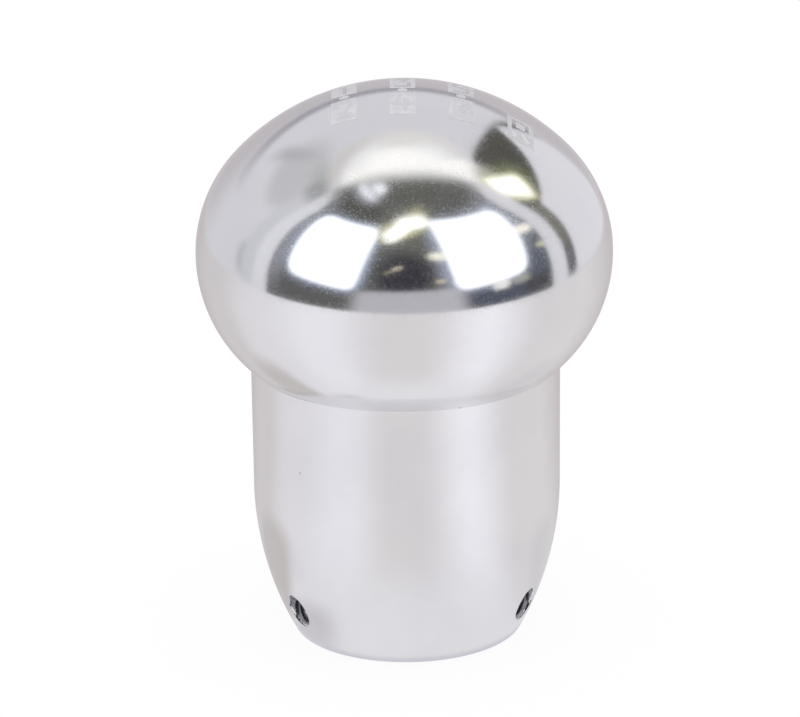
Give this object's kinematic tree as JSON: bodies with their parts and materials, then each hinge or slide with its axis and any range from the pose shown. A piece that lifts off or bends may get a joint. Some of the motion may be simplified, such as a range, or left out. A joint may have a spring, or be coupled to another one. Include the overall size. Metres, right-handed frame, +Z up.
{
  "type": "gear shift knob",
  "caption": "Turned aluminium gear shift knob: a domed head on a barrel grip that curves in at its foot, clamped to a threaded lever adapter by radial set screws.",
  "frame": {"origin": "centre of the base, on its face", "axes": "+Z up through the crown, -Y towards the driver, +X to the driver's right"},
  "size_m": [0.05, 0.05, 0.068],
  "materials": {
    "polished_aluminium": "turned and polished bright, with a slight haze",
    "plated_steel": "turned and nickel plated",
    "screw_steel": "bright stainless, rolled thread"
  },
  "bodies": {
    "knob": {"knob_body": "polished_aluminium", "lever_adapter": "plated_steel"},
    "screw_1": {"set_screw_1": "screw_steel"},
    "screw_2": {"set_screw_2": "screw_steel"},
    "screw_3": {"set_screw_3": "screw_steel"}
  },
  "joints": [
    {"name": "screw_1_travel", "type": "slide", "parent": "knob", "child": "screw_1", "axis": [-0.8387, -0.5446, 0], "range_m": [0, 0.0021]},
    {"name": "screw_2_travel", "type": "slide", "parent": "knob", "child": "screw_2", "axis": [0.891, -0.454, 0], "range_m": [0, 0.0021]},
    {"name": "screw_3_travel", "type": "slide", "parent": "knob", "child": "screw_3", "axis": [-0.0523, 0.9986, 0], "range_m": [0, 0.0021]}
  ]
}
